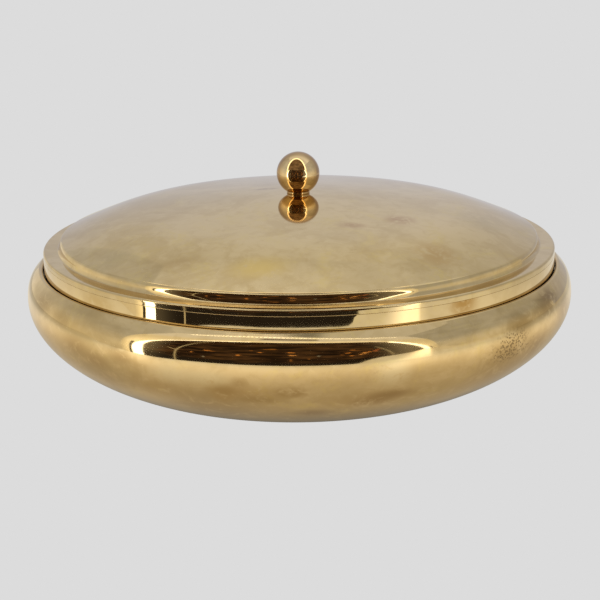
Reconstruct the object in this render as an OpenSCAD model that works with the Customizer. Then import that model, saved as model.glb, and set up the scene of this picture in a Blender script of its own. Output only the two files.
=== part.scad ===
// Low ciborium: a wide spun-brass bowl for altar breads with a shallow domed
// cover that lifts off by a small ball knob. Millimetres, +Z up. The origin is
// the centre of the plane that the bowl stands on. All pieces share the Z axis;
// the bowl, collar, cover and ball are drawn as half sections [radius, z] and revolved.

/* [Bowl] */
// Diameter of the bowl at its widest
bowl_d = 190; // [187:0.5:205]
// Height of the widest part above the table
belly_z = 29.6; // [28:0.1:31]
// Diameter of the ring that the bowl stands on
stand_d = 108; // [100:1:116]
// Width of the flat standing ring
stand_w = 7; // [4:0.5:10]
// How far the middle of the base is pressed up
base_kick = 0.8; // [0:0.1:1.4]
// Thickness of the bowl's sheet
bowl_wall = 1.2; // [1:0.05:1.4]
// Upright pull of the curve below the widest part
belly_pull = 17.2; // [14:0.2:20]
// Sideways pull of the curve where it reaches the base
base_pull = 13.8; // [10:0.2:18]
// Diameter of the mouth between the rounded lip edges
mouth_d = 178.4; // [178.3:0.1:178.6]
// Radius of the rounded lip
lip_r = 1.0; // [0.8:0.05:1.1]
// Height of the top of the lip
lip_z = 39.35; // [39:0.05:39.7]

/* [Mouth collar] */
// Outside diameter of the upright collar that guides the cover
collar_d = 175.1; // [174.8:0.1:175.2]
// Thickness of the upright collar
collar_wall = 1.2; // [1:0.1:1.6]
// Height of the top of the collar
collar_top_z = 43.0; // [41:0.1:43.2]
// Thickness of the seat flange that carries the cover
seat_t = 1.2; // [0.9:0.1:1.4]
// Clearance of the cover on the collar, on the radius
fit_gap = 0.08; // [0.05:0.01:0.1]

/* [Cover] */
// Diameter of the cover's rim at the level of the bowl's lip
rim_d = 178.08; // [177.8:0.02:178.2]
// Taper of the rim band in degrees, wider at the foot
rim_taper = 1.2; // [0.6:0.1:1.8]
// Thickness of the cover's sheet
cover_wall = 1.2; // [1:0.05:1.2]
// Height of the outer corner of the ledge
ledge_z = 45.5; // [45.2:0.05:45.6]
// Rounding of the ledge's outer corner
corner_r = 0.7; // [0.5:0.05:0.8]
// How far the sheet is turned down over the rim band
turn_down = 2.0; // [1.6:0.1:2.4]
// Diameter of the hollow at the foot of the step
step_d = 167.7; // [167.2:0.1:168.1]
// Diameter of the top edge of the step
dome_d = 164.4; // [164:0.1:165]
// Height of the top edge of the step
dome_edge_z = 48.79; // [48.6:0.05:49]
// Slope of the dome at its edge, in degrees
edge_slope = 22.6; // [20:0.2:25]
// Radius where the crown turns into the fall of the dome
crown_r = 46; // [43:0.5:49]
// Height of the dome at that radius
crown_z = 58.35; // [58.2:0.05:58.5]
// Slope of the crown at that radius, in degrees
crown_slope = 6.3; // [5.6:0.1:7]
// Height of the top of the dome
top_z = 61.45; // [61.3:0.05:61.7]

/* [Knob] */
// Diameter of the ball
ball_d = 15; // [13:0.5:17]
// Height of the ball's centre above the dome
ball_up = 7.1; // [6.2:0.1:7.4]
// Diameter of the foot under the ball
knob_foot_d = 8; // [7:0.5:9]
// Diameter of the flat at the top of the dome for the knob and the washer
flat_d = 10; // [9.6:0.2:11]

/* [Fixing inside the cover] */
// Diameter of the stud
stud_d = 4; // [3.5:0.5:4]
// Radial clearance of the stud in the hole of the cover
hole_gap = 0.08; // [0.05:0.01:0.1]
// Length of stud inside the knob
stud_in = 6; // [4:0.5:7]
// Outside diameter of the washer
washer_d = 9; // [8:0.5:9]
// Thickness of the washer
washer_t = 0.8; // [0.5:0.1:1]
// Width of the nut across its flats
nut_af = 7; // [6:0.5:8]
// Height of the nut
nut_h = 3.2; // [2.4:0.1:3.6]

/* [Hidden] */
$fn = 128;
seam = 0.02;    // solder line or seating gap between two pieces
cut = 1;        // how far a cutting shape runs past a face

// A curve is a cubic: start, pull at the start, pull at the end, end.
function on_curve(curve, t) =
    pow(1 - t, 3) * curve[0] + 3 * pow(1 - t, 2) * t * curve[1]
    + 3 * (1 - t) * t * t * curve[2] + pow(t, 3) * curve[3];
function heading(curve, t) =
    let (along = pow(1 - t, 2) * (curve[1] - curve[0])
               + 2 * (1 - t) * t * (curve[2] - curve[1])
               + t * t * (curve[3] - curve[2]))
    along / norm(along);
// The point at t moved by shift to the left of the heading.
function beside(curve, t, shift) =
    let (ahead = heading(curve, t))
    on_curve(curve, t) + shift * [-ahead[1], ahead[0]];
function trace(curve, steps, shift, from = 0, to = 1) =
    [for (i = [0:steps]) beside(curve, from + (to - from) * i / steps, shift)];
function arc(centre, radius, from, to, steps) =
    [for (i = [0:steps])
        let (angle = from + (to - from) * i / steps)
        centre + radius * [cos(angle), sin(angle)]];
function flip(points) = [for (i = [len(points) - 1:-1:0]) points[i]];
// Leaves out the point shared with the curve before.
function skip_first(points) = [for (i = [1:len(points) - 1]) points[i]];
// Unit step outwards and down at a slope in degrees.
function down(slope) = [cos(slope), -sin(slope)];

// Bowl section: base to belly, then belly to lip.
stand_r = stand_d / 2;
kick_r = stand_r - stand_w;
kick_run = 2;           // width of the ramp up to the pressed middle
kick_shift = 0.2;       // the ramp's inside skin lies this much further out
belly = [bowl_d / 2, belly_z];
lower_side = [[stand_r, 0], [stand_r + base_pull, 0], belly - [0, belly_pull], belly];
mouth_r = mouth_d / 2;
lip_centre = [mouth_r + lip_r, lip_z - lip_r];
lip_start = lip_centre + lip_r * [cos(45), sin(45)];
shoulder_pull = 5.9;    // upright pull above the belly
lip_pull = 1.86;        // pull at the lip, outwards and down alike
shoulder = [belly, belly + [0, shoulder_pull], lip_start + lip_pull * [1, -1], lip_start];
lip_t = 0.93;           // where the shoulder's inside skin meets the lip
lip_under = beside(shoulder, lip_t, bowl_wall)[1];     // underside of the lip

// Collar section.
collar_r = collar_d / 2;
collar_in_r = collar_r - collar_wall;
seat_r = mouth_r + 1.2;         // the seat reaches under the lip
seat_top = lip_under - seam;
seat_low = seat_top - seat_t;
inner_bevel = 0.3;              // collar's inner top edge and seat's lower outer edge
outer_bevel = 0.4;              // collar's outer top edge

// Cover section, dome: crown, then fall.
crown_end = [crown_r, crown_z];
dome_edge = [dome_d / 2, dome_edge_z];
crown = [[flat_d / 2, top_z], [flat_d / 2 + 9, top_z],
         crown_end - 19 * down(crown_slope), crown_end];
fall = [crown_end, crown_end + 16 * down(crown_slope),
        dome_edge - 18.8 * down(edge_slope), dome_edge];
head_z = top_z - cover_wall;    // underside of the dome at its middle

// The step is an ogee: it rounds over from the dome's edge, is steepest half way
// down, and hollows out again towards the ledge.
step_r = step_d / 2;
steep_slope = 81.9;
steep_point = [step_r - 0.48, ledge_z + 1.42];
foot_slope = 58;                // slope where the hollow turns into its foot
foot_round = 0.5;
foot_centre = [step_r + foot_round * sin(foot_slope), ledge_z + foot_round];
cove_end = [step_r, foot_centre[1] - foot_round * cos(foot_slope)];
edge = [dome_edge, dome_edge + 0.456 * down(edge_slope),
        steep_point - 1.479 * down(steep_slope), steep_point];
cove = [steep_point, steep_point + 0.436 * down(steep_slope),
        cove_end - 0.165 * down(foot_slope), cove_end];

// Rim band and the sheet turned down above it.
rim_r = rim_d / 2;
rim_base = seat_top + seam;
rim_top = ledge_z - turn_down;
rim_up_r = rim_r - (rim_top - lip_z) * tan(rim_taper);      // outside at its top
rim_low_r = rim_r + (lip_z - rim_base) * tan(rim_taper);    // outside at its foot
rim_in_r = collar_r + fit_gap;
band_bevel = [0.3, 0.15, 0.06];     // inner foot, outer foot, outer top
lap_slope = 88;                 // slope of the turned-down edge
lap_round = 0.14;               // rounding of its lower edge
lap_end = -50;                  // angle where that rounding stops
corner_end = 15;                // angle where the ledge's corner rounding stops
corner_centre = [
    rim_up_r - (turn_down - corner_r * (1 - sin(corner_end))) / tan(lap_slope)
        - corner_r * cos(corner_end),
    ledge_z - corner_r];
ledge_under = ledge_z - cover_wall;
ledge_bevel = 0.4;              // inner corner under the ledge

// Knob and fixing.
ball_r = ball_d / 2;
knob_foot_r = knob_foot_d / 2;
stud_r = stud_d / 2;
stud_slack = 0.01;              // stud is this much thinner than its holes, on the radius
stud_tail = 1;                  // stud below the nut
bore_spare = 0.5;               // depth of the knob's hole beyond the stud
slot_w = 0.6;
slot_depth = 0.8;
washer_gap = 0.15;              // washer's hole around the stud, on the radius
nut_corner_r = nut_af / 2 / cos(30);
nut_face_r = nut_af / 2 * 0.97; // flat end of the nut inside its chamfer
nut_bevel = 0.5;                // height of that chamfer

module spin(points) {
    rotate_extrude() polygon(points);
}

module bore(radius, bottom, top) {
    translate([0, 0, bottom]) cylinder(h = top - bottom, r = radius, $fn = 48);
}

module bowl_shell() {
    ramp_r = kick_r - kick_run;
    color([0.80, 0.66, 0.40])
    spin(concat(
        [[0, base_kick], [ramp_r, base_kick], [kick_r, 0]],
        trace(lower_side, 22, 0),
        skip_first(trace(shoulder, 16, 0)),
        arc(lip_centre, lip_r, 52, 180, 8),
        [[mouth_r, lip_under]],
        // Back down the inside skin.
        flip(trace(shoulder, 14, bowl_wall, 0.06, lip_t)),
        flip(trace(lower_side, 22, bowl_wall)),
        [[kick_r + kick_shift, bowl_wall],
         [ramp_r + kick_shift, base_kick + bowl_wall],
         [0, base_kick + bowl_wall]]
    ));
}

module mouth_collar() {
    color([0.78, 0.63, 0.36])
    spin([
        [collar_in_r, seat_low],
        [seat_r - inner_bevel, seat_low], [seat_r, seat_low + inner_bevel],
        [seat_r, seat_top], [collar_r, seat_top],
        [collar_r, collar_top_z - outer_bevel], [collar_r - outer_bevel, collar_top_z],
        [collar_in_r + inner_bevel, collar_top_z], [collar_in_r, collar_top_z - inner_bevel]
    ]);
}

module cover_dome() {
    color([0.82, 0.69, 0.45])
    difference() {
        spin(concat(
            [[0, top_z]],
            trace(crown, 14, 0),
            skip_first(trace(fall, 20, 0)),
            trace(edge, 10, 0, 0.1, 1),
            trace(cove, 6, 0, 1 / 6, 1),
            arc(foot_centre, foot_round, 280 - foot_slope, 270, 4),
            arc(corner_centre, corner_r, 90, corner_end, 6),
            arc([rim_up_r - lap_round, rim_top - lap_round * sin(lap_end)],
                lap_round, 7, lap_end, 4),
            // Back up the inside skin.
            [[rim_in_r, rim_top], [rim_in_r, ledge_under - ledge_bevel],
             [rim_in_r - ledge_bevel, ledge_under], [step_r + 0.1, ledge_under],
             beside(cove, 1, -cover_wall), beside(cove, 0, -cover_wall)],
            flip(trace(fall, 20, -cover_wall, 0, 0.97)),
            [for (p = flip(trace(crown, 14, -cover_wall))) if (p[0] < crown_r - 1) p],
            [[0, head_z]]
        ));
        bore(stud_r + hole_gap, head_z - cut, top_z + cut);
    }
}

module cover_rim_band() {
    band_top = rim_top - seam;
    color([0.80, 0.66, 0.41])
    spin([
        [rim_in_r, rim_base + band_bevel[0]], [rim_in_r + band_bevel[0], rim_base],
        [rim_low_r - band_bevel[1], rim_base], [rim_low_r, rim_base + band_bevel[1]],
        [rim_up_r, band_top - band_bevel[2]], [rim_up_r - band_bevel[2], band_top],
        [rim_in_r, band_top]
    ]);
}

module knob_ball() {
    // The ball runs down until it is as wide as the foot.
    foot_angle = -acos(knob_foot_r / ball_r);
    color([0.85, 0.66, 0.36])
    difference() {
        spin(concat(
            [[0, top_z + seam], [knob_foot_r, top_z + seam]],
            arc([0, top_z + ball_up], ball_r, foot_angle, 90, 30)
        ));
        bore(stud_r, top_z - cut, top_z + stud_in + bore_spare);
    }
}

module knob_stud() {
    low_z = head_z - washer_t - nut_h - stud_tail;
    color([0.72, 0.62, 0.38])
    translate([0, 0, low_z])
    difference() {
        cylinder(h = top_z + stud_in - low_z, r = stud_r - stud_slack, $fn = 48);
        // Slot in the lower end to hold the stud while the nut is tightened.
        translate([-stud_d, -slot_w / 2, -cut]) cube([2 * stud_d, slot_w, slot_depth + cut]);
    }
}

module knob_washer() {
    color([0.75, 0.65, 0.42])
    translate([0, 0, head_z - seam - washer_t])
    difference() {
        cylinder(h = washer_t, r = washer_d / 2, $fn = 64);
        bore(stud_r + washer_gap, -cut, washer_t + cut);
    }
}

module knob_nut() {
    color([0.74, 0.62, 0.38])
    translate([0, 0, head_z - 2 * seam - washer_t - nut_h])
    difference() {
        intersection() {
            cylinder(h = nut_h, r = nut_corner_r, $fn = 6);
            // The corners are chamfered off at both ends.
            rotate_extrude($fn = 64) polygon([
                [0, 0], [nut_face_r, 0], [nut_corner_r, nut_bevel],
                [nut_corner_r, nut_h - nut_bevel], [nut_face_r, nut_h], [0, nut_h]]);
        }
        bore(stud_r, -cut, nut_h + cut);
    }
}

bowl_shell();
mouth_collar();
cover_dome();
cover_rim_band();
knob_ball();
knob_stud();
knob_washer();
knob_nut();
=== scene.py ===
"""Polished brass bowl with a domed cover and a ball knob.

All pieces are turned about Z. The bowl stands on z = 0 and the camera looks from -Y, the front.
Half sections are (radius, height) in mm; the scene and the light box are in metres.
"""
import math
import bpy
import bmesh
from mathutils import Matrix, Vector


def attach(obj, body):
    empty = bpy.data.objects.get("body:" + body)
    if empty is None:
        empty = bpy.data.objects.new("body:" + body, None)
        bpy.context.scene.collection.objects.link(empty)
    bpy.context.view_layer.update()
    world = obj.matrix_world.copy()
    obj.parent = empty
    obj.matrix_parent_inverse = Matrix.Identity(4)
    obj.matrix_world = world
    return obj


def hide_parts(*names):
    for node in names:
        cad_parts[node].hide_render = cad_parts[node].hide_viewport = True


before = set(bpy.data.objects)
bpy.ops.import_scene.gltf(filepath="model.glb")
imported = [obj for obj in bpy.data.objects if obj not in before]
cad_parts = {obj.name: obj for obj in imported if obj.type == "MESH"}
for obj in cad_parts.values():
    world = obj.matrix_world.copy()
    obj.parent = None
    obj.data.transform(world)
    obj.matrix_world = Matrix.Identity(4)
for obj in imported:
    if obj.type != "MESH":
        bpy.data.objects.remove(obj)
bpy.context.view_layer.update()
scene = bpy.context.scene
MM = 0.001


# ---------------------------------------------------------------- profile helpers
def sind(angle):
    return math.sin(math.radians(angle))


def cosd(angle):
    return math.cos(math.radians(angle))


def downhill(point, length, slope):
    """The point moved outwards and down a slope in degrees; a negative length moves it back up."""
    return point[0] + length * cosd(slope), point[1] - length * sind(slope)


def on_circle(centre, radius, angle):
    return centre[0] + radius * cosd(angle), centre[1] + radius * sind(angle)


def arc(centre, radius, start, end, steps):
    return [on_circle(centre, radius, start + (end - start) * i / steps) for i in range(steps + 1)]


def line(start, end, steps):
    return [(start[0] + (end[0] - start[0]) * i / steps, start[1] + (end[1] - start[1]) * i / steps)
            for i in range(steps + 1)]


def offset_point(curve, t, offset):
    """Point of a cubic Bezier curve, moved by offset to the left of its direction."""
    s = 1 - t
    r, z = [s ** 3 * a + 3 * s * s * t * b + 3 * s * t * t * c + t ** 3 * d
            for a, b, c, d in zip(*curve)]
    dr, dz = [s * s * (b - a) + 2 * s * t * (c - b) + t * t * (d - c)
              for a, b, c, d in zip(*curve)]
    length = math.hypot(dr, dz)
    return r - offset * dz / length, z + offset * dr / length


def trace(curve, steps, offset=0.0, start=0.0, end=1.0):
    return [offset_point(curve, start + (end - start) * i / steps, offset)
            for i in range(steps + 1)]


def flip(points):
    return list(reversed(points))


# ---------------------------------------------------------------- driving sizes, mm
WALL = 1.2
GAP = 0.02                      # clearance between touching pieces

# bowl
BOWL_R, BELLY_Z = 95.0, 29.6    # widest place
STAND_R, KICK = 54.0, 0.8       # standing radius, and how far the middle is raised
KICK_R = STAND_R - 7.0
MOUTH_R, LIP_Z, LIP_R = 89.2, 39.35, 1.0
LIP_CENTRE = (MOUTH_R + LIP_R, LIP_Z - LIP_R)
LIP_START = on_circle(LIP_CENTRE, LIP_R, 45)
LOWER_WALL = [(STAND_R, 0), (STAND_R + 13.8, 0), (BOWL_R, BELLY_Z - 17.2), (BOWL_R, BELLY_Z)]
SHOULDER = [(BOWL_R, BELLY_Z), (BOWL_R, BELLY_Z + 5.9),
            (LIP_START[0] + 1.86, LIP_START[1] - 1.86), LIP_START]
INNER_END = 0.93                # share of the shoulder that the inside follows
LIP_UNDER_Z = offset_point(SHOULDER, INNER_END, WALL)[1]

# cover: flat top, crown, fall, edge, cove and ledge, from the middle outwards
TOP_Z, FLAT_R, HOLE_R = 61.45, 5.0, 2.08
CROWN_POINT, CROWN_SLOPE = (46.0, 58.35), 6.3
DOME_EDGE, EDGE_SLOPE = (82.2, 48.79), 22.6
STEP_R, LEDGE_Z = 83.85, 45.5
STEEP_POINT, STEEP_SLOPE = (STEP_R - 0.48, LEDGE_Z + 1.42), 81.9
FOOT_SLOPE, FOOT_R = 58.0, 0.5  # fillet between the cove and the ledge
FOOT_CENTRE = (STEP_R + FOOT_R * sind(FOOT_SLOPE), LEDGE_Z + FOOT_R)
COVE_END = (STEP_R, FOOT_CENTRE[1] - FOOT_R * cosd(FOOT_SLOPE))
CROWN = [(FLAT_R, TOP_Z), (FLAT_R + 9, TOP_Z),
         downhill(CROWN_POINT, -19, CROWN_SLOPE), CROWN_POINT]
FALL = [CROWN_POINT, downhill(CROWN_POINT, 16, CROWN_SLOPE),
        downhill(DOME_EDGE, -18.8, EDGE_SLOPE), DOME_EDGE]
EDGE = [DOME_EDGE, downhill(DOME_EDGE, 0.456, EDGE_SLOPE),
        downhill(STEEP_POINT, -1.479, STEEP_SLOPE), STEEP_POINT]
COVE = [STEEP_POINT, downhill(STEEP_POINT, 0.436, STEEP_SLOPE),
        downhill(COVE_END, -0.165, FOOT_SLOPE), COVE_END]

# upright band under the ledge, and the turned-down edge that meets it
TURN_DOWN, CORNER_R = 2.0, 0.7
LAP_SLOPE, LAP_R = 88.0, 0.14
RIM_R, RIM_TAPER = 89.04, 1.2   # radius at lip height, taper in degrees
RIM_BASE_Z, RIM_TOP_Z = LIP_UNDER_Z, LEDGE_Z - TURN_DOWN
RIM_TOP_R = RIM_R - (RIM_TOP_Z - LIP_Z) * math.tan(math.radians(RIM_TAPER))
RIM_BASE_R = RIM_R + (LIP_Z - RIM_BASE_Z) * math.tan(math.radians(RIM_TAPER))
CORNER_DROP = TURN_DOWN - CORNER_R * (1 - cosd(75))
CORNER_CENTRE = (RIM_TOP_R - CORNER_DROP / math.tan(math.radians(LAP_SLOPE)) - CORNER_R * sind(75),
                 LEDGE_Z - CORNER_R)
LAP_CENTRE = (RIM_TOP_R - LAP_R, RIM_TOP_Z + LAP_R * sind(50))

# guide collar in the mouth of the bowl
COLLAR_R, COLLAR_TOP_Z = 87.55, 43.0
RIM_INNER_R = COLLAR_R + 0.08
FLANGE_R = MOUTH_R + 1.2

# knob
BALL_R, BALL_Z = 7.5, TOP_Z + 7.1
NECK_R, BORE_R, BORE_DEPTH = 4.0, 2.0, 6.5


# ---------------------------------------------------------------- half sections
# Each profile is a list of point lists. A corner between two lists is sharp.
def bowl_profile():
    """Underside, outer wall and lip, then down the inside."""
    inner_z = WALL + KICK
    return [
        line((0, KICK), (KICK_R - 2.2, KICK), 6)
        + [(KICK_R - 1.6, KICK - 0.05), (KICK_R - 0.6, KICK * 0.45),
           (KICK_R + 0.1, 0.06), (KICK_R + 0.7, 0)]
        + line((KICK_R + 0.7, 0), (STAND_R, 0), 3)
        + trace(LOWER_WALL, 72) + trace(SHOULDER, 44)
        + arc(LIP_CENTRE, LIP_R, 45, 180, 18),
        line((MOUTH_R, LIP_Z - LIP_R), (MOUTH_R, LIP_UNDER_Z), 2),
        line((MOUTH_R, LIP_UNDER_Z), offset_point(SHOULDER, INNER_END, WALL), 3),
        flip(trace(SHOULDER, 36, WALL, end=INNER_END)) + flip(trace(LOWER_WALL, 60, WALL))
        + line((STAND_R, WALL), (KICK_R + 0.9, WALL), 3)
        + [(KICK_R + 0.3, WALL + 0.06), (KICK_R - 0.4, WALL + KICK * 0.45),
           (KICK_R - 1.4, inner_z - 0.05), (KICK_R - 2.0, inner_z)]
        + line((KICK_R - 2.0, inner_z), (0, inner_z), 8),
    ]


def cover_profile():
    """Dome, step, ledge and turned-down edge, then the underside."""
    under_z = LEDGE_Z - WALL
    head_z = TOP_Z - WALL
    fillet = 0.4
    return [
        line((HOLE_R, TOP_Z), (FLAT_R, TOP_Z), 2)
        + trace(CROWN, 40) + trace(FALL, 60) + trace(EDGE, 24) + trace(COVE, 16)
        + arc(FOOT_CENTRE, FOOT_R, 270 - FOOT_SLOPE, 270, 12)
        + line((FOOT_CENTRE[0], LEDGE_Z), (CORNER_CENTRE[0], LEDGE_Z), 6)
        + arc(CORNER_CENTRE, CORNER_R, 90, 15, 16)
        + line(on_circle(CORNER_CENTRE, CORNER_R, 15), on_circle(LAP_CENTRE, LAP_R, 7), 4)
        + arc(LAP_CENTRE, LAP_R, 7, -50, 8),
        line((on_circle(LAP_CENTRE, LAP_R, -50)[0], RIM_TOP_Z), (RIM_INNER_R, RIM_TOP_Z), 2),
        line((RIM_INNER_R, RIM_TOP_Z), (RIM_INNER_R, under_z - fillet), 2)
        + arc((RIM_INNER_R - fillet, under_z - fillet), fillet, 0, 90, 4)
        + line((RIM_INNER_R - fillet, under_z), (STEP_R + 0.1, under_z), 4)
        + flip(trace(COVE, 2, -WALL)) + flip(trace(FALL, 40, -WALL, end=0.97))
        + flip(trace(CROWN, 30, -WALL)) + [(HOLE_R, head_z)],
        line((HOLE_R, head_z), (HOLE_R, TOP_Z), 2),
    ]


def band_profile():
    top_z = RIM_TOP_Z - GAP
    top_round, base_round, inner_round = 0.06, 0.15, 0.3
    return [
        line((RIM_INNER_R, top_z), (RIM_TOP_R - top_round, top_z), 2)
        + arc((RIM_TOP_R - top_round, top_z - top_round), top_round, 90, 4, 4)
        + line((RIM_TOP_R, top_z - top_round), (RIM_BASE_R, RIM_BASE_Z + base_round), 8)
        + arc((RIM_BASE_R - base_round, RIM_BASE_Z + base_round), base_round, 0, -90, 4)
        + line((RIM_BASE_R - base_round, RIM_BASE_Z), (RIM_INNER_R + inner_round, RIM_BASE_Z), 2)
        + arc((RIM_INNER_R + inner_round, RIM_BASE_Z + inner_round), inner_round, 270, 180, 4)
        + line((RIM_INNER_R, RIM_BASE_Z + inner_round), (RIM_INNER_R, top_z), 4),
    ]


def collar_profile():
    """Flange that sits under the lip of the bowl, and an upright wall inside its mouth."""
    seat_z = LIP_UNDER_Z - GAP
    base_z = seat_z - WALL
    inner_r = COLLAR_R - WALL
    outer_round, inner_round = 0.4, 0.3
    outer_z, inner_z = COLLAR_TOP_Z - outer_round, COLLAR_TOP_Z - inner_round
    return [
        line((inner_r, base_z), (FLANGE_R - 0.3, base_z), 3)
        + [(FLANGE_R - 0.08, base_z + 0.09), (FLANGE_R, base_z + 0.3)]
        + line((FLANGE_R, base_z + 0.3), (FLANGE_R, seat_z), 2),
        line((FLANGE_R, seat_z), (COLLAR_R, seat_z), 3),
        line((COLLAR_R, seat_z), (COLLAR_R, outer_z), 4)
        + arc((COLLAR_R - outer_round, outer_z), outer_round, 0, 90, 5)
        + arc((inner_r + inner_round, inner_z), inner_round, 90, 180, 5)
        + line((inner_r, inner_z), (inner_r, base_z), 4),
    ]


def knob_profile():
    """Bore from below, flat neck end, then the ball."""
    base_z = TOP_Z + GAP
    bore_z = TOP_Z + BORE_DEPTH
    ball_start = -math.degrees(math.acos(NECK_R / BALL_R))
    return [
        [(0, bore_z), (BORE_R, bore_z)],
        line((BORE_R, bore_z), (BORE_R, base_z), 3),
        line((BORE_R, base_z), (NECK_R - 0.1, base_z), 2),
        [(NECK_R - 0.1, base_z), (NECK_R, base_z + 0.1), (NECK_R, TOP_Z + 0.35)],
        arc((0, BALL_Z), BALL_R, ball_start, 90, 64),
    ]


# ---------------------------------------------------------------- turning
def near(a, b):
    return math.dist(a, b) < 1e-4


def on_axis(point):
    return point[0] < 1e-6


def join(sections):
    """One list of points, and the indices of its sharp corners."""
    points, creases = [], set()
    for section in sections:
        kept = []
        for point in section:
            if not kept or not near(point, kept[-1]):
                kept.append(point)
        if points:
            creases.add(len(points) - 1)
            if near(kept[0], points[-1]):
                kept = kept[1:]
            else:
                creases.add(len(points))
        points += kept
    return points, creases


def lathe(name, sections, segments):
    """Turns a profile about Z. A profile that starts off the axis closes on itself."""
    points, creases = join(sections)
    ring_closed = not on_axis(points[0])
    if ring_closed:
        creases.add(0)
        if near(points[0], points[-1]):
            points.pop()
    bm = bmesh.new()
    rings = []
    for r, z in points:
        if on_axis((r, z)):
            rings.append([bm.verts.new((0, 0, z * MM))] * segments)
            continue
        angles = [2 * math.pi * k / segments for k in range(segments)]
        rings.append([bm.verts.new((r * MM * math.cos(a), r * MM * math.sin(a), z * MM))
                      for a in angles])
    count = len(points)
    for i in range(count if ring_closed else count - 1):
        ring, following = rings[i], rings[(i + 1) % count]
        for k in range(segments):
            m = (k + 1) % segments
            # at a pole the four corners fall together into three
            corners = dict.fromkeys((ring[k], ring[m], following[m], following[k]))
            if len(corners) > 2:
                bm.faces.new(list(corners)).smooth = True
    for i in creases:
        if on_axis(points[i]):
            continue
        for k in range(segments):
            bm.edges.get((rings[i][k], rings[i][(k + 1) % segments])).smooth = False
    bmesh.ops.recalc_face_normals(bm, faces=bm.faces)
    mesh = bpy.data.meshes.new(name)
    bm.to_mesh(mesh)
    bm.free()
    mesh.validate()
    obj = bpy.data.objects.new(name, mesh)
    scene.collection.objects.link(obj)
    return obj


bowl = lathe("bowl_spun_shell", bowl_profile(), segments=320)
cover = lathe("cover_spun_dome", cover_profile(), segments=320)
band = lathe("cover_upright_band", band_profile(), segments=320)
collar = lathe("mouth_guide_collar", collar_profile(), segments=320)
knob = lathe("ball_knob", knob_profile(), segments=128)

# piece, frame node it replaces, body it rides on, material slot
for piece, node, body, slot in (
        (bowl, "bowl_shell", "bowl", "bowl_brass"),
        (collar, "mouth_collar", "bowl", "collar_brass"),
        (cover, "cover_dome", "cover", "cover_brass"),
        (band, "cover_rim_band", "cover", "rim_brass"),
        (knob, "knob_ball", "cover", "knob_brass")):
    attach(piece, body)
    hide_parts(node)


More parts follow.
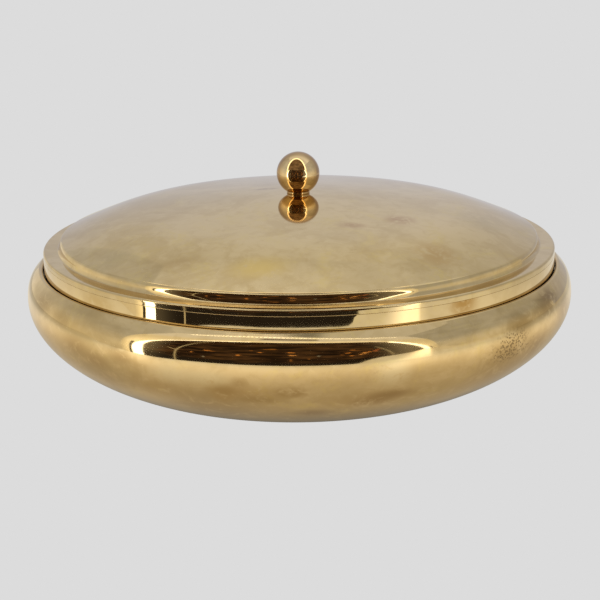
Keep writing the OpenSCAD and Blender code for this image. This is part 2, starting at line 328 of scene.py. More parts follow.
# ---------------------------------------------------------------- node helpers
class Net:
    """Short calls for building a node tree. Inputs may be values or sockets."""

    def __init__(self, tree):
        self.nodes = tree.nodes
        self.links = tree.links

    def put(self, socket, value):
        if value is None:
            return
        if isinstance(value, bpy.types.NodeSocket):
            self.links.new(value, socket)
        elif isinstance(value, tuple):
            alpha = (1.0,) if len(value) == 3 and len(socket.default_value) == 4 else ()
            socket.default_value = value + alpha
        else:
            socket.default_value = value

    def math(self, operation, a, b=None, clamp=False):
        node = self.nodes.new("ShaderNodeMath")
        node.operation = operation
        node.use_clamp = clamp
        self.put(node.inputs[0], a)
        self.put(node.inputs[1], b)
        return node.outputs[0]

    def chain(self, operation, first, *others):
        for other in others:
            first = self.math(operation, first, other)
        return first

    def add(self, *values):
        return self.chain("ADD", *values)

    def mul(self, *values):
        return self.chain("MULTIPLY", *values)

    def sub(self, a, b):
        return self.math("SUBTRACT", a, b)

    def distance(self, value, centre):
        return self.math("ABSOLUTE", self.sub(value, centre))

    def radius(self, x, y):
        return self.math("SQRT", self.add(self.mul(x, x), self.mul(y, y)))

    def vector_math(self, operation, a, b=None):
        node = self.nodes.new("ShaderNodeVectorMath")
        node.operation = operation
        self.put(node.inputs[0], a)
        self.put(node.inputs[1], b)
        return node.outputs["Value" if operation == "LENGTH" else "Vector"]

    def xyz(self, vector):
        node = self.nodes.new("ShaderNodeSeparateXYZ")
        self.put(node.inputs[0], vector)
        return node.outputs

    def vector(self, *parts):
        node = self.nodes.new("ShaderNodeCombineXYZ")
        for socket, part in zip(node.inputs, parts):
            self.put(socket, part)
        return node.outputs[0]

    def step(self, value, low, high, start=0.0, end=1.0):
        """Smooth change from start at low to end at high."""
        node = self.nodes.new("ShaderNodeMapRange")
        node.interpolation_type = "SMOOTHSTEP"
        node.clamp = True
        for socket, setting in zip(node.inputs, (value, low, high, start, end)):
            self.put(socket, setting)
        return node.outputs[0]

    def fade(self, value, low, high):
        return self.step(value, low, high, start=1.0, end=0.0)

    def window(self, value, rise, fall):
        """0 to 1 over the range rise, back to 0 over the range fall."""
        return self.mul(self.step(value, *rise), self.fade(value, *fall))

    def mix(self, factor, a, b):
        node = self.nodes.new("ShaderNodeMix")
        node.data_type = "RGBA"
        node.blend_type = "MIX"
        node.clamp_factor = True
        self.put(node.inputs["Factor"], factor)
        first, second = [s for s in node.inputs if s.type == "RGBA"]
        self.put(first, a)
        self.put(second, b)
        return [s for s in node.outputs if s.type == "RGBA"][0]

    def noise(self, vector, scale, detail, rough, warp=0.0):
        node = self.nodes.new("ShaderNodeTexNoise")
        self.put(node.inputs["Vector"], vector)
        node.inputs["Scale"].default_value = scale
        node.inputs["Detail"].default_value = detail
        node.inputs["Roughness"].default_value = rough
        node.inputs["Distortion"].default_value = warp
        return node.outputs[0]

    def cell_distance(self, vector, scale):
        node = self.nodes.new("ShaderNodeTexVoronoi")
        self.put(node.inputs["Vector"], vector)
        node.inputs["Scale"].default_value = scale
        return node.outputs[0]

    def coord(self):
        return self.nodes.new("ShaderNodeTexCoord").outputs["Object"]

    def mapping(self, vector, move=(0, 0, 0), scale=(1, 1, 1)):
        node = self.nodes.new("ShaderNodeMapping")
        self.put(node.inputs[0], vector)
        node.inputs["Location"].default_value = move
        node.inputs["Scale"].default_value = scale
        return node.outputs[0]

    def bump(self, height, strength, distance, normal=None):
        node = self.nodes.new("ShaderNodeBump")
        node.inputs["Strength"].default_value = strength
        node.inputs["Distance"].default_value = distance
        self.put(node.inputs["Height"], height)
        self.put(node.inputs["Normal"], normal)
        return node.outputs[0]

    def oval(self, place, centre, half_size, soft):
        """1 inside an ellipsoid, fading out over the soft share of it."""
        away = self.vector_math("SUBTRACT", place, centre)
        away = self.vector_math("LENGTH", self.vector_math("DIVIDE", away, half_size))
        return self.fade(away, 1.0 - soft, 1.0)


def new_material(name):
    mat = bpy.data.materials.new(name)
    mat.use_nodes = True
    return mat, Net(mat.node_tree)


# ---------------------------------------------------------------- brass
def seam_shade_mask(net, rad, z, seam):
    """1 in the ring-shaped seam (r from, r to, z from, z to), in mm, where the shade in the gap
    between parts is painted.
    """
    r_from, r_to, z_from, z_to = [v * MM for v in seam]
    return net.mul(net.window(rad, rise=(r_from, r_from + 0.00012), fall=(r_to - 0.00012, r_to)),
                   net.step(z, z_from, z_from + 0.00015),
                   net.fade(z, z_to - 0.0002, z_to))


def pit_mask(net, p, patches, pits, zones):
    """Small dots, scattered by pits and dense inside the zones."""
    dots = net.fade(net.cell_distance(p, scale=800.0), 0.20, 0.46)
    scatter = net.step(net.noise(p, scale=60.0, detail=2.0, rough=0.6), 0.62, 0.74)
    amount = net.mul(scatter, pits)
    for centre, half_size in zones:
        zone = net.oval(p, tuple(v * MM for v in centre), tuple(v * MM for v in half_size),
                        soft=0.8)
        amount = net.math("MAXIMUM", amount, net.mul(zone, net.step(patches, 0.30, 0.52)))
    dense = 0.0
    if zones:
        cells = net.cell_distance(net.mapping(p, move=(0.2, 0.5, 0.1)), scale=1250.0)
        dense = net.mul(net.step(amount, 0.25, 0.6), net.fade(cells, 0.22, 0.48))
    scattered = net.math("MULTIPLY", dots, amount, clamp=True)
    return net.math("MAXIMUM", scattered, dense, clamp=True)


def brass(name, base, dull, rough, tarnish, pits, rings, stains_and_shade=(), pit_zones=(),
          yellow=(0.80, 0.60, 0.235), seam=None, edge=None):
    """Polished brass.

    base, dull, yellow: clean tint, tarnished tint and the tint of bright patches
    rough: roughness; tarnish, pits, rings: amounts
    stains: rows of centre mm, half size mm, tint, strength; mostly stains, some rows painted shade
    pit_zones: rows of centre mm, half size mm
    seam: ring where the shade in the gap between parts is painted dark; see the seam mask above
    edge: tint of painted shade where the surface turns away from the eye
    """
    mat, net = new_material(name)
    bsdf = net.nodes["Principled BSDF"]
    p = net.coord()
    x, y, z = net.xyz(p)
    rad = net.radius(x, y)

    # cloudy tarnish at several sizes
    big = net.noise(p, scale=22.0, detail=3.0, rough=0.55, warp=0.6)
    mid = net.noise(p, scale=80.0, detail=4.0, rough=0.6, warp=0.8)
    patchy = net.noise(net.mapping(p, move=(0.13, 0.31, 0.07), scale=(1, 1, 1.6)),
                       scale=55.0, detail=5.0, rough=0.62, warp=1.2)
    small = net.noise(net.mapping(p, move=(0.4, 0.2, 0.9), scale=(1, 1, 1.3)),
                      scale=190.0, detail=4.0, rough=0.62, warp=0.8)
    fine = net.noise(p, scale=700.0, detail=3.0, rough=0.6)
    blot = net.noise(net.mapping(p, move=(0.7, 0.1, 0.3), scale=(1, 1, 0.8)),
                     scale=42.0, detail=6.0, rough=0.66, warp=0.5)
    cloud = net.step(net.add(net.mul(big, 0.6), net.mul(mid, 0.4)), 0.42, 0.66)
    fleck = net.step(net.add(net.mul(small, 0.7), net.mul(big, 0.3)), 0.44, 0.62)
    gold = net.step(net.add(net.mul(patchy, 0.7), net.mul(fine, 0.3)), 0.50, 0.68)
    colour = base
    # mask, its share of the tarnish, tint
    for mask, share, tint in ((cloud, 1.0, dull),
                              (fleck, 0.50, (0.64, 0.46, 0.205)),
                              (gold, 0.75, yellow),
                              (net.step(blot, 0.50, 0.60), 0.42, (0.60, 0.42, 0.18))):
        colour = net.mix(net.mul(mask, share * tarnish), colour, tint)

    # fine polishing rings: almost one-dimensional noise along the section
    along = net.add(rad, net.mul(z, 0.85))
    ring = net.noise(net.vector(along, 0.0, 0.0), scale=2600.0, detail=3.0, rough=0.7)
    ring_wide = net.noise(net.vector(along, net.mul(x, 0.02), net.mul(y, 0.02)),
                          scale=700.0, detail=2.0, rough=0.6)
    colour = net.mix(net.mul(net.distance(ring, 0.5), 0.6 * rings), colour, (0.45, 0.31, 0.14))

    # stains with broken edges; the same marks also carry painted shade
    spread = 1.35
    for centre, half_size, tint, strength in stains_and_shade:
        mask = net.oval(p, tuple(v * MM for v in centre),
                        tuple(v * MM * spread for v in half_size), soft=0.9)
        broken = net.step(net.add(small, net.mul(fine, 0.3)), 0.40, 0.66)
        colour = net.mix(net.mul(mask, broken, strength), colour, tint)

    pit = pit_mask(net, p, mid, pits, pit_zones)
    colour = net.mix(net.mul(pit, 0.75), colour, (0.16, 0.10, 0.04))
    roughness = net.add(rough, net.mul(cloud, 0.03 * tarnish))
    # painted shade in the gap between parts, with a little more roughness
    if seam:
        seam_shade = seam_shade_mask(net, rad, z, seam)
        colour = net.mix(net.mul(seam_shade, 0.88), colour, (0.085, 0.050, 0.020))
        roughness = net.add(roughness, net.mul(seam_shade, 0.15))
    # painted shade: darker towards the outline as the surface turns away
    if edge:
        facing = net.nodes.new("ShaderNodeLayerWeight")
        facing.inputs["Blend"].default_value = 0.5
        colour = net.mix(net.step(facing.outputs["Facing"], 0.12, 0.68), colour, edge)
    net.put(bsdf.inputs["Base Color"], colour)
    bsdf.inputs["Metallic"].default_value = 1.0
    roughness = net.add(roughness, net.mul(pit, 0.30),
                        net.mul(net.sub(ring_wide, 0.5), 0.02 * rings))
    net.put(bsdf.inputs["Roughness"], roughness)

    # bump: slow ripples, polishing rings, pits
    ripple = net.mul(net.noise(p, scale=38.0, detail=1.0, rough=0.4), 1.0)
    normal = net.bump(ripple, strength=0.30, distance=0.00004)
    normal = net.bump(ring, strength=0.10 * rings, distance=0.0000010, normal=normal)
    normal = net.bump(net.mul(pit, -1.0), strength=0.5, distance=0.00001, normal=normal)
    net.put(bsdf.inputs["Normal"], normal)
    return mat


BASE = (0.800, 0.600, 0.305)
DULL = (0.680, 0.500, 0.245)
# Stains: centre mm, half size mm, tint, strength
BOWL_STAINS = [
    ((66, -62, 18), (26, 26, 10), (0.50, 0.34, 0.14), 0.6),
    ((-25, -86, 15), (20, 22, 9), (0.50, 0.35, 0.16), 0.7),
    ((10, -84, 9), (34, 26, 6), (0.50, 0.36, 0.17), 0.6),
    ((-22.7, -89.6, 20.5), (4, 6, 6), (0.56, 0.36, 0.13), 0.6),
    ((-62, -68, 24), (20, 20, 9), (0.53, 0.39, 0.18), 0.7),
    ((-84, -36, 33), (12, 18, 5), (0.56, 0.42, 0.21), 0.7),
    ((-70, -62, 30), (10, 10, 3), (0.60, 0.43, 0.19), 0.7),
    ((40, -84, 16), (20, 14, 6), (0.60, 0.43, 0.18), 0.6),
    ((77.6, -52.5, 34.5), (12, 10, 4), (0.40, 0.27, 0.11), 0.95),
    ((67.6, -65.1, 33.0), (9, 9, 4), (0.42, 0.28, 0.11), 0.9),
    ((86.0, -40.0, 31.0), (8, 10, 5), (0.44, 0.30, 0.13), 0.85),
    ((62.5, -71.4, 26.0), (12, 12, 6), (0.52, 0.36, 0.15), 0.6),
    ((-53.4, -78.5, 29.0), (5, 5, 3), (0.44, 0.30, 0.13), 0.8),
    ((-81.8, -44.1, 35.5), (9, 8, 3), (0.46, 0.32, 0.14), 0.85),
    ((-74, -58, 34.0), (8, 7, 3), (0.50, 0.35, 0.15), 0.8),
    ((80.0, -49.0, 36.8), (9, 8, 2.6), (0.34, 0.22, 0.09), 0.9),
    ((-15, -88, 22), (12, 8, 4), (0.56, 0.36, 0.14), 0.7),
    ((20, -88, 18), (16, 8, 4), (0.58, 0.39, 0.16), 0.7),
    ((-44, -82, 20), (9, 9, 4), (0.58, 0.39, 0.16), 0.6),
    ((-22, -91, 22), (5, 4, 2.2), (0.50, 0.33, 0.13), 0.6),
    ((-18, -93, 25), (3, 3, 2), (0.50, 0.33, 0.13), 0.7),
    ((-3, -93, 22), (6, 4, 2.5), (0.50, 0.33, 0.13), 0.9),
    ((26, -88, 19), (9, 5, 2.2), (0.46, 0.30, 0.12), 0.95),
    ((21, -88, 17), (7, 5, 2), (0.48, 0.31, 0.12), 0.9),
    ((3, -86, 13), (7, 5, 2), (0.46, 0.31, 0.14), 0.85),
    ((-27, -90, 26), (9, 6, 3), (0.86, 0.70, 0.40), 0.7),
    ((-38, -87, 26), (8, 6, 4), (0.88, 0.72, 0.42), 0.7),
    ((27, -91, 27), (6, 6, 5), (0.88, 0.72, 0.42), 0.7),
    ((-69, -65, 28), (7, 7, 4), (0.48, 0.33, 0.14), 0.9),
    ((-62, -71, 25), (6, 6, 3), (0.52, 0.36, 0.16), 0.85),
    ((53, -63, 10), (9, 7, 2.5), (0.50, 0.34, 0.15), 0.85),
    ((40, -68, 8), (9, 6, 2), (0.50, 0.34, 0.15), 0.8),
    ((74, -58, 24), (7, 7, 4), (0.50, 0.34, 0.15), 0.8),
    ((-12, -91, 19), (8, 5, 2), (0.52, 0.35, 0.14), 0.8),
]
COVER_STAINS = [
    ((33.3, -31.5, 58.4), (5.5, 5.5, 5), (0.54, 0.33, 0.15), 0.95),
    ((17.3, -39.3, 58.7), (5, 3.0, 4), (0.56, 0.36, 0.17), 0.9),
    ((42.5, -56.9, 53.3), (8, 8, 5), (0.64, 0.42, 0.17), 0.8),
    ((-12.2, -69.9, 53.3), (10, 6, 6), (0.84, 0.60, 0.20), 0.8),
    ((-36, -62, 53), (8, 3, 5), (0.60, 0.42, 0.19), 0.7),
    ((-58, -50, 51), (9, 9, 5), (0.60, 0.46, 0.24), 0.6),
    ((60, -20, 54), (12, 12, 5), (0.60, 0.46, 0.25), 0.6),
    ((-48, 10, 56), (16, 12, 5), (0.62, 0.47, 0.25), 0.5),
    ((-11.5, 9, 61), (5, 1.8, 3), (0.42, 0.27, 0.12), 0.9),
]
RIM_STAINS = [
    ((48.8, -74.3, 43.5), (6, 6, 6), (0.52, 0.30, 0.09), 1.0),
    ((-62, -64, 41), (8, 8, 3), (0.62, 0.42, 0.16), 0.7),
]
# painted shade round the waist of the knob, where it meets the cover
KNOB_WAIST_SHADE = [
    ((0, 0, 61.3), (5.5, 5.5, 0.9), (0.30, 0.17, 0.06), 1.0),
    ((0, 0, 61.5), (5.5, 5.5, 0.8), (0.36, 0.20, 0.07), 0.9),
]

# each seam ring below is painted shade in a gap: inside the lip, round the knob, at the foot of the
# band and under the collar flange
bowl.data.materials.append(brass(
    "bowl_polished_brass", BASE, DULL, rough=0.055, tarnish=1.0, pits=0.15, rings=0.35,
    stains_and_shade=BOWL_STAINS, pit_zones=[((64.5, -69.5, 27.5), (15, 15, 7))],
    seam=(88.8, 89.55, 36.0, 39.08)))
cover.data.materials.append(brass(
    "cover_polished_brass", (0.800, 0.610, 0.318), (0.70, 0.525, 0.265),
    rough=0.05, tarnish=0.9, pits=0.12, rings=0.4,
    stains_and_shade=COVER_STAINS, seam=(-1.0, 3.8, 61.2, 61.7)))
band.data.materials.append(brass(
    "rim_polished_brass", BASE, DULL, rough=0.022, tarnish=0.6, pits=0.1, rings=0.30,
    stains_and_shade=RIM_STAINS, seam=(80.0, 95.0, 36.0, 39.34)))
collar.data.materials.append(brass(
    "collar_rubbed_brass", (0.79, 0.59, 0.28), DULL,
    rough=0.12, tarnish=0.4, pits=0.1, rings=0.9, seam=(88.2, 92.0, 34.0, 37.60)))
knob.data.materials.append(brass(
    "knob_turned_brass", (0.98, 0.745, 0.40), (0.90, 0.64, 0.30),
    rough=0.04, tarnish=0.35, pits=0.1, rings=0.12,
    yellow=(0.86, 0.58, 0.22), edge=(0.46, 0.29, 0.14), stains_and_shade=KNOB_WAIST_SHADE))
fixing_brass = brass(
    "fixing_turned_brass", (0.74, 0.55, 0.27), (0.55, 0.40, 0.18),
    rough=0.26, tarnish=0.6, pits=0.2, rings=1.0)
for node in ("knob_stud", "knob_washer", "knob_nut"):
    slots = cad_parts[node].data.materials
    slots.clear()
    slots.append(fixing_brass)

# ---------------------------------------------------------------- light box, metres
# A white box stands round the object, turned a little about Z, with a dark opening
# at the front framed by light. Only reflections see it; the camera sees a pale floor.
TURN = math.radians(-11.67)
LEFT, RIGHT, FRONT, BACK, TOP = -0.400, 0.520, -0.277, 0.420, 0.640
BOTTOM = -0.16                  # lower end of the front and side walls
FLOOR_Z = -0.0004
WHITE = (0.97, 0.985, 1.0)
GREY = (0.95, 0.965, 1.0)


def emitter(name, build):
    """Emission material; build(net) gives its colour and strength."""
    mat, net = new_material(name)
    net.nodes.remove(net.nodes["Principled BSDF"])
    emission = net.nodes.new("ShaderNodeEmission")
    colour, strength = build(net)
    net.put(emission.inputs[0], colour)
    net.put(emission.inputs[1], strength)
    net.links.new(emission.outputs[0], net.nodes["Material Output"].inputs[0])
    mat.cycles.emission_sampling = "NONE"
    return mat


def mesh_card(name, verts, faces, mat, camera=False):
    mesh = bpy.data.meshes.new(name)
    mesh.from_pydata([Vector(v) for v in verts], [], faces)
    obj = bpy.data.objects.new(name, mesh)
    scene.collection.objects.link(obj)
    obj.data.materials.append(mat)
    obj.rotation_euler = (0, 0, TURN)
    obj.visible_camera = camera
    obj.visible_shadow = False


def card(name, corners, mat, camera=False):
    mesh_card(name, corners, [tuple(range(len(corners)))], mat, camera)


def at_front(points, gap):
    """(x, z) points placed a gap behind the front wall, inside the box."""
    return [(x, FRONT + gap, z) for x, z in points]


def ribbon(name, path, mat, gap):
    """A flat band parallel to the front wall; path holds x, z, half width."""
    edges, faces = [], []
    for i, (x, z, w) in enumerate(path):
        a, b = path[max(i - 1, 0)], path[min(i + 1, len(path) - 1)]
        d = Vector((b[0] - a[0], b[1] - a[1])).normalized()
        edges += [(x - d.y * w, z + d.x * w), (x + d.y * w, z - d.x * w)]
        if i:
            k = 2 * i
            faces.append((k - 2, k - 1, k + 1, k))
    mesh_card(name, at_front(edges, gap), faces, mat)


def mottled(net, p, strength, swing, scale):
    cloud = net.noise(p, scale=scale, detail=2.0, rough=0.5)
    return net.mul(net.step(cloud, 0.25, 0.75, start=1.0 - swing, end=1.0 + swing), strength)


def uneven(colour, strength, swing, scale):
    return lambda net: (colour, mottled(net, net.coord(), strength, swing, scale))


def even(colour, strength):
    return lambda net: (colour, strength)


def front_wall(net):
    x, _, z = net.xyz(net.coord())
    # dark patch in the warm and grey wall above the opening
    patch = net.mul(net.window(x, rise=(-0.055, -0.04), fall=(0.10, 0.115)),
                    net.window(z, rise=(0.44, 0.455), fall=(0.52, 0.535)))
    wall = net.mix(net.step(z, 0.30, 0.45), (0.92, 0.86, 0.70), (0.86, 0.86, 0.88))
    wall = net.mix(net.mul(patch, 0.8), wall, (0.14, 0.11, 0.10))
    # soft light round the two bright sides of the frame
    left = net.step(net.math("ABSOLUTE", net.add(x, 0.30)), 0.02, 0.11, start=0.8, end=0.0)
    right = net.step(net.distance(x, 0.40), 0.02, 0.11, start=0.5, end=0.0)
    halo = net.mul(net.add(left, right), net.fade(z, 0.05, 0.30))
    return wall, net.add(halo, 0.95)


def opening(net):
    p = net.coord()
    x, _, z = net.xyz(p)
    room = net.noise(net.mapping(p, scale=(0.6, 1.0, 1.6)), scale=26.0, detail=4.0, rough=0.65)
    inner = net.mix(net.step(room, 0.38, 0.72), (0.016, 0.010, 0.008), (0.11, 0.060, 0.030))
    inner = net.mix(net.fade(z, -0.01, 0.03), inner, (0.022, 0.018, 0.016))
    # the side lights shine a little way into the opening
    left = net.mul(net.fade(x, -0.275, -0.165), net.step(z, -0.02, 0.05, start=0.45, end=1.0))
    right = net.step(x, 0.17, 0.34)
    glow = net.math("POWER", net.math("MAXIMUM", left, right), 1.3)
    return net.mix(glow, inner, (0.26, 0.235, 0.19)), 1.0


def back_wall(net):
    x, _, z = net.xyz(net.coord())
    strength = net.mul(net.step(net.distance(x, 0.02), 0.0, 0.42, start=0.68, end=0.61),
                       net.step(z, 0.0, 0.40, start=0.90, end=1.0),
                       net.step(x, 0.02, 0.19, start=1.0, end=0.89))
    return net.mix(net.step(z, 0.05, 0.45), (0.95, 0.95, 1.03), (0.97, 0.98, 1.0)), strength


def ceiling(net):
    x, y, _ = net.xyz(net.coord())
    dark = net.mul(net.fade(net.distance(x, 0.02), 0.07, 0.14), net.fade(y, -0.02, 0.07))
    bright = net.window(y, rise=(-0.03, 0.12), fall=(0.14, 0.40))
    strength = net.add(0.66, net.mul(bright, 0.16))
    return GREY, net.mul(strength, net.sub(1.0, net.mul(dark, 0.6)))


def side_wall(strength):
    def build(net):
        p = net.coord()
        low = net.fade(net.xyz(p)[2], -0.02, 0.26)
        level = net.mul(mottled(net, p, strength, swing=0.10, scale=6.0),
                        net.add(1.0, net.mul(low, 0.42)))
        return net.mix(low, GREY, (1.0, 0.94, 0.80)), level
    return build


def streak(net, x, y, rad, foot, to, width, reach, gain, rise, fall, mask):
    """Glossy streak on the floor from foot towards to.

    reach is its length as a share of the way; rise and fall are in widths across it.
    """
    dx, dy = to[0] - foot[0], to[1] - foot[1]
    length = math.hypot(dx, dy)

    def components(a, b):
        return (net.mul(net.sub(x, foot[0]), a), net.mul(net.sub(y, foot[1]), b))

    along = net.math("DIVIDE", net.add(*components(dx, dy)), length * length)
    across = net.math("DIVIDE", net.sub(*components(dy, dx)), length * width)
    return net.mul(net.window(across, rise, fall), net.fade(along, 0.0, reach),
                   net.step(rad, 0.115, 0.185), mask, gain)


def lit_floor(net):
    x, y, _ = net.xyz(net.coord())
    rad = net.radius(x, y)
    # painted shadow of the bowl on the floor: dark under it, brighter further out
    strength = net.step(rad, 0.050, 0.088, start=0.05, end=0.50)
    strength = net.add(strength, net.step(rad, 0.085, 0.17, start=0.0, end=0.53))
    strength = net.sub(strength, net.step(rad, 0.18, 0.25, start=0.0, end=0.20))
    strength = net.mul(strength, net.step(y, -0.05, 0.10, start=1.0, end=0.80))
    # gold light thrown back on the floor by the bowl
    tint = net.mix(net.step(rad, 0.09, 0.24), (1.0, 0.885, 0.70), (0.97, 0.955, 0.90))
    # towards the side walls the floor falls to their level
    far = net.step(net.distance(x, 0.04), 0.16, 0.44)
    strength = net.mul(strength, net.sub(1.0, net.mul(far, 0.12)))
    tint = net.mix(far, tint, (1.0, 0.94, 0.80))
    # streaks in front of the side lights: one at the left, two at the right
    left = dict(foot=(-0.290, -0.270), to=(-0.045, -0.085))
    right = dict(foot=(0.400, -0.270), to=(0.045, -0.085))
    for settings in (
            dict(left, width=0.034, reach=1.45, gain=1.0, rise=(-1.0, 0.0), fall=(0.0, 1.0),
                 mask=1.0),
            dict(right, width=0.026, reach=1.55, gain=0.70, rise=(-1.3, -0.1), fall=(0.1, 1.3),
                 mask=1.0),
            dict(right, width=0.034, reach=1.25, gain=1.2, rise=(-1.4, 0.05), fall=(0.38, 0.54),
                 mask=net.step(rad, 0.200, 0.224))):
        strength = net.add(strength, streak(net, x, y, rad, **settings))
    return tint, strength


def led_row(net):
    pitch = 0.013
    x = net.xyz(net.coord())[0]
    phase = net.math("FRACT", net.mul(x, 1.0 / pitch))
    dot = net.step(net.distance(phase, 0.5), 0.20, 0.40, start=1.0, end=0.30)
    return WHITE, net.mul(dot, 2.6)


def upright(start, end, bottom):
    """Rectangle from the bottom to the top of the box between two (x, y) places."""
    return [(*start, bottom), (*end, bottom), (*end, TOP), (*start, TOP)]


for name, corners, build in (
        ("box_front", upright((LEFT, FRONT), (RIGHT, FRONT), BOTTOM), front_wall),
        ("box_left", upright((LEFT, FRONT), (LEFT, BACK), BOTTOM), side_wall(0.565)),
        ("box_right", upright((RIGHT, FRONT), (RIGHT, BACK), BOTTOM), side_wall(0.475)),
        ("box_back", upright((LEFT, BACK), (RIGHT, BACK), FLOOR_Z), back_wall),
        ("box_top", [(LEFT, FRONT, TOP), (RIGHT, FRONT, TOP), (RIGHT, BACK, TOP),
                     (LEFT, BACK, TOP)], ceiling)):
    card(name, corners, emitter(name, build))

# outline of the dark opening: x, z
ARCH = [
    (-0.285, BOTTOM), (-0.285, 0.034), (-0.278, 0.076), (-0.248, 0.149), (-0.225, 0.193),
    (-0.203, 0.227), (-0.180, 0.251), (-0.156, 0.272), (-0.115, 0.303), (-0.050, 0.327),
    (0.053, 0.338), (0.160, 0.338), (0.235, 0.328), (0.273, 0.308), (0.297, 0.265),
    (0.326, 0.211), (0.361, 0.147), (0.394, 0.095), (0.405, 0.045), (0.326, 0.026),
    (0.245, 0.018), (0.215, 0.014), (0.189, 0.002), (0.175, -0.010), (0.172, -0.04),
    (0.172, BOTTOM),
]
card("opening", at_front(ARCH, 0.001), emitter("opening", opening))

# Light frame round the opening: strong at the sides, a thin line over the left
# shoulder and a broad soft band over the top. Name, colour, strength, gap, path.
FRAME = [
    ("frame_left", WHITE, 4.0, 0.002,
     [(-0.294, BOTTOM, 0.027), (-0.294, 0.0, 0.027), (-0.292, 0.040, 0.027),
      (-0.287, 0.078, 0.021), (-0.262, 0.149, 0.009)]),
    ("frame_shoulder", WHITE, 2.6, 0.002,
     [(-0.262, 0.149, 0.009), (-0.232, 0.198, 0.006), (-0.187, 0.256, 0.006),
      (-0.119, 0.310, 0.006), (-0.050, 0.335, 0.007)]),
    ("frame_top", (1.0, 0.95, 0.84), 1.25, 0.0015,
     [(-0.190, 0.285, 0.004), (-0.119, 0.325, 0.012), (-0.050, 0.352, 0.020),
      (0.053, 0.368, 0.026), (0.160, 0.368, 0.027), (0.240, 0.352, 0.024),
      (0.290, 0.310, 0.014)]),
    ("frame_right", WHITE, 3.4, 0.002,
     [(0.292, 0.300, 0.012), (0.314, 0.262, 0.013), (0.342, 0.211, 0.014),
      (0.378, 0.147, 0.016), (0.408, 0.095, 0.018), (0.425, 0.050, 0.020),
      (0.420, 0.020, 0.022)]),
]
for name, colour, strength, gap, path in FRAME:
    ribbon(name, path, emitter(name, even(colour, strength)), gap)
card("glow_right", at_front([(0.345, BOTTOM), (0.460, BOTTOM), (0.460, 0.03), (0.345, 0.03)],
                            0.0012), emitter("glow_right", even(WHITE, 1.15)))

dark_post = emitter("dark_post", uneven((0.10, 0.085, 0.06), strength=1.0, swing=0.3, scale=20.0))
card("post_left", at_front([(-0.346, BOTTOM), (-0.320, BOTTOM), (-0.316, 0.10), (-0.336, 0.10)],
                           0.001), dark_post)
card("post_right", at_front([(0.452, 0.0), (0.470, 0.0), (0.462, 0.09), (0.446, 0.09)],
                            0.0014), dark_post)

# thin lines in the opening: x, z, half width
frame_edge = emitter("frame_edge", even((0.60, 0.54, 0.40), 0.9))
for name, path in (
        ("edge_left", [(-0.163, BOTTOM, 0.0022), (-0.160, -0.01, 0.0022), (-0.157, 0.065, 0.0022),
                       (-0.153, 0.098, 0.0022), (-0.146, 0.143, 0.002), (-0.138, 0.209, 0.002),
                       (-0.118, 0.290, 0.002)]),
        ("edge_fork", [(-0.183, 0.086, 0.002), (-0.157, 0.068, 0.002)]),
        ("edge_right", [(0.215, 0.175, 0.0022), (0.228, 0.130, 0.0025), (0.242, 0.083, 0.003),
                        (0.254, 0.030, 0.003)])):
    ribbon(name, path, frame_edge, 0.003)


# A dark hood leans over the object. Only the ball knob looks up at it, so its outline
# is laid out as an oval on the face of the ball.
def up_from_ball(u, v):
    """Where a ray mirrored by the ball goes; u, v are ball radii right of and above its middle."""
    view = math.radians(10.7)
    w = math.sqrt(1 - u * u - v * v)
    right, up, to = 2 * w * u, 2 * w * v, 2 * w * w - 1
    ray = Vector((right, -(to * math.cos(view) - up * math.sin(view)),
                  up * math.cos(view) + to * math.sin(view)))
    climb = math.degrees(math.asin(ray.z))
    # 85 mm away up to a climb of 32 degrees, 110 mm more at 88 degrees
    far = 0.085 + max(0.0, climb - 32.0) / 56.0 * 0.110
    place = Vector((0, 0, (BALL_Z + 1.5) * MM)) + ray * far
    return tuple(Matrix.Rotation(-TURN, 3, "Z") @ place)


HOOD_STEPS = 18
HOOD_U, HOOD_V = -0.068, -0.014             # middle of the oval, ball radii
HOOD_HALF_WIDTH, HOOD_HALF_HEIGHT = 0.385, 0.637


def hood_arc(grow, start, end):
    angles = [start + (end - start) * i / HOOD_STEPS for i in range(HOOD_STEPS + 1)]
    return [up_from_ball(HOOD_U + (HOOD_HALF_WIDTH + grow) * cosd(a),
                         HOOD_V + (HOOD_HALF_HEIGHT + grow) * sind(a)) for a in angles]


# the rim closes through a point low on the ball and fans out from a point inside it
hood_rim = hood_arc(0.0, 12, 168) + [up_from_ball(HOOD_U, 0.10)]
count = len(hood_rim)
mesh_card("hood", hood_rim + [up_from_ball(HOOD_U, 0.40)],
          [(i, (i + 1) % count, count) for i in range(count)],
          emitter("hood", uneven((0.165, 0.108, 0.064), strength=1.0, swing=0.5, scale=30.0)))
row = HOOD_STEPS + 1
mesh_card("hood_trim", hood_arc(0.002, 10, 170) + hood_arc(0.050, 10, 170),
          [(i, i + 1, i + row + 1, i + row) for i in range(HOOD_STEPS)],
          emitter("hood_trim", even((1.0, 0.92, 0.76), 2.0)))

# lights of the room behind the opening: key, then colour and strength
LAMP_TINTS = {
    "o": ((1.0, 0.42, 0.11), 0.55),
    "O": ((1.0, 0.50, 0.18), 0.85),
    "b": ((0.9, 0.40, 0.12), 0.25),
    "r": ((1.0, 0.36, 0.16), 0.45),
    "g": ((0.8, 0.78, 0.72), 0.30),
}
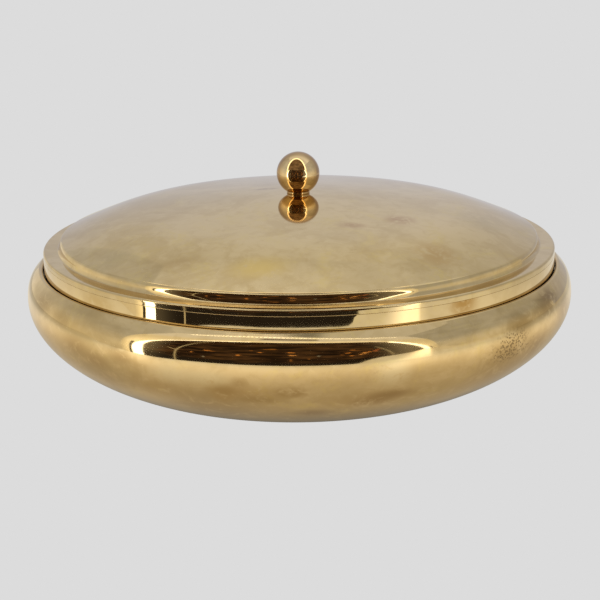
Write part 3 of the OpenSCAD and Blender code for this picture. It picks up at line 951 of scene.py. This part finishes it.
# x, z, half width, half height, tint key
LAMPS = [
    (-0.094, 0.092, 0.006, 0.007, "o"), (-0.084, 0.088, 0.005, 0.006, "b"),
    (-0.121, 0.060, 0.003, 0.005, "o"), (-0.096, 0.029, 0.002, 0.006, "g"),
    (-0.038, 0.063, 0.0035, 0.007, "o"), (-0.021, 0.123, 0.003, 0.007, "b"),
    (-0.006, 0.102, 0.0035, 0.006, "o"), (0.042, 0.105, 0.006, 0.008, "o"),
    (0.044, 0.075, 0.006, 0.005, "O"), (0.042, 0.030, 0.002, 0.010, "b"),
    (0.070, 0.041, 0.002, 0.006, "b"), (0.086, 0.064, 0.003, 0.006, "g"),
    (0.140, 0.088, 0.006, 0.007, "o"), (0.152, 0.128, 0.006, 0.007, "o"),
    (0.163, 0.118, 0.005, 0.006, "b"), (0.176, 0.080, 0.006, 0.009, "O"),
    (0.188, 0.092, 0.005, 0.008, "o"), (0.205, 0.100, 0.006, 0.013, "r"),
    (0.216, 0.122, 0.006, 0.010, "r"), (0.146, 0.054, 0.005, 0.005, "o"),
    (0.128, 0.068, 0.005, 0.004, "b"), (0.166, 0.064, 0.004, 0.004, "O"),
    (0.196, 0.130, 0.004, 0.005, "b"), (0.008, 0.150, 0.012, 0.010, "b"),
]
lamp_mats = {key: emitter("room_light_" + key, uneven(colour, strength, swing=0.55, scale=160.0))
             for key, (colour, strength) in LAMP_TINTS.items()}
wobble = 0.25                               # makes each outline a little irregular
for i, (x, z, w, h, key) in enumerate(LAMPS):
    angles = [2 * math.pi * j / 12 for j in range(12)]
    outline = [(x + w * math.cos(a) * (1 + wobble * math.sin(3 * a + i)),
                z + h * math.sin(a) * (1 + wobble * math.cos(2 * a + i))) for a in angles]
    card("room_light_%d" % i, at_front(outline, 0.004), lamp_mats[key])
card("led_row", [(-0.29, -0.270, 0.545), (0.42, -0.270, 0.545),
                 (0.42, -0.266, 0.565), (-0.29, -0.266, 0.565)], emitter("led_row", led_row))

# ---------------------------------------------------------------- floor and world
# The camera sees an even sheet. Reflections see the lit floor of the box, which
# slopes away in front of the object and ends at the sill of the opening.
PALE = (0.7157, 0.7157, 0.7157, 1)


def camera_only(name):
    """Pale to the camera, clear to every other ray."""
    mat, net = new_material(name)
    net.nodes.remove(net.nodes["Principled BSDF"])
    path = net.nodes.new("ShaderNodeLightPath")
    seen = net.nodes.new("ShaderNodeEmission")
    seen.inputs[0].default_value = PALE
    clear = net.nodes.new("ShaderNodeBsdfTransparent")
    mixer = net.nodes.new("ShaderNodeMixShader")
    net.links.new(path.outputs["Is Camera Ray"], mixer.inputs[0])
    net.links.new(clear.outputs[0], mixer.inputs[1])
    net.links.new(seen.outputs[0], mixer.inputs[2])
    net.links.new(mixer.outputs[0], net.nodes["Material Output"].inputs[0])
    return mat


card("floor", [(x, y, FLOOR_Z) for x, y in ((-3, -3), (3, -3), (3, 3), (-3, 3))],
     camera_only("pale_floor"), camera=True)

# sill where the sloping floor ends: x, z
SILL = [
    (-0.500, -0.150), (-0.345, -0.085), (-0.322, -0.070), (-0.287, -0.0560), (-0.262, -0.0470),
    (-0.244, -0.0425), (-0.220, -0.0378), (-0.205, -0.0345), (-0.191, -0.0315),
    (-0.172, -0.0275), (-0.145, -0.0228), (-0.121, -0.0188), (-0.099, -0.0158),
    (-0.079, -0.0137), (-0.060, -0.0120), (-0.042, -0.0110), (-0.025, -0.0104),
    (-0.008, -0.0102), (0.008, -0.0101), (0.024, -0.0103), (0.041, -0.0109), (0.057, -0.0117),
    (0.075, -0.0128), (0.093, -0.0143), (0.112, -0.0161), (0.132, -0.0185), (0.150, -0.0205),
    (0.160, -0.0205), (0.169, -0.0160), (0.178, -0.0070), (0.189, 0.0023), (0.215, 0.0143),
    (0.245, 0.0182), (0.326, 0.026), (0.405, 0.045), (0.650, 0.045),
]
# front edge of the level floor: x, y; at the left it starts to fall away further back
LEVEL_END_Y = -0.188
LEVEL_END = [
    (LEFT, -0.120), (-0.215, -0.130), (-0.185, -0.142), (-0.158, -0.152), (-0.144, -0.157),
    (-0.134, -0.161), (-0.121, -0.165), (-0.113, -0.168), (-0.107, -0.170), (-0.100, -0.174),
    (-0.0885, -0.182), (-0.079, LEVEL_END_Y),
]
LEVEL_END += [(x * 0.75, LEVEL_END_Y) for x, z in SILL[len(LEVEL_END):]]
LIT_Z = FLOOR_Z / 2
lit = emitter("lit_floor", lit_floor)
level_edge = [(x, y, LIT_Z) for x, y in LEVEL_END]
card("lit_floor", level_edge + [(RIGHT, LEVEL_END_Y, LIT_Z), (RIGHT, BACK, LIT_Z),
                                (LEFT, BACK, LIT_Z)], lit)
count = len(SILL)
mesh_card("lit_apron", level_edge + at_front(SILL, 0.0035),
          [(i, i + 1, i + 1 + count, i + count) for i in range(count - 1)], lit)

world = bpy.data.worlds.new("pale_world")
scene.world = world
world.use_nodes = True
background = world.node_tree.nodes["Background"]
background.inputs[0].default_value = PALE
background.inputs[1].default_value = 1.0

# ---------------------------------------------------------------- camera
ELEVATION = math.radians(14.61)
ROLL = 0.0119                               # radians
TARGET = Vector((0, 0, 0.03754))
DISTANCE = 0.4489
cam_data = bpy.data.cameras.new("camera")
cam = bpy.data.objects.new("camera", cam_data)
scene.collection.objects.link(cam)
to_camera = Vector((0, -math.cos(ELEVATION), math.sin(ELEVATION)))
cam.location = TARGET + to_camera * DISTANCE
aim = (-to_camera).to_track_quat("-Z", "Y").to_matrix()
cam.rotation_euler = (aim @ Matrix.Rotation(-ROLL, 3, "Z")).to_euler()
cam_data.sensor_width = 36.0
cam_data.lens = 75.72
cam_data.shift_x = 0.0015
cam_data.shift_y = -0.06875
cam_data.clip_start = 0.01
cam_data.clip_end = 20
scene.camera = cam

# ---------------------------------------------------------------- render settings
scene.view_settings.view_transform = "Standard"
scene.view_settings.look = "None"
scene.view_settings.exposure = 0.0
scene.view_settings.gamma = 1.0
scene.cycles.use_denoising = False
scene.cycles.sample_clamp_indirect = 14.0
scene.cycles.caustics_reflective = True
scene.cycles.glossy_bounces = 8
scene.cycles.max_bounces = 10
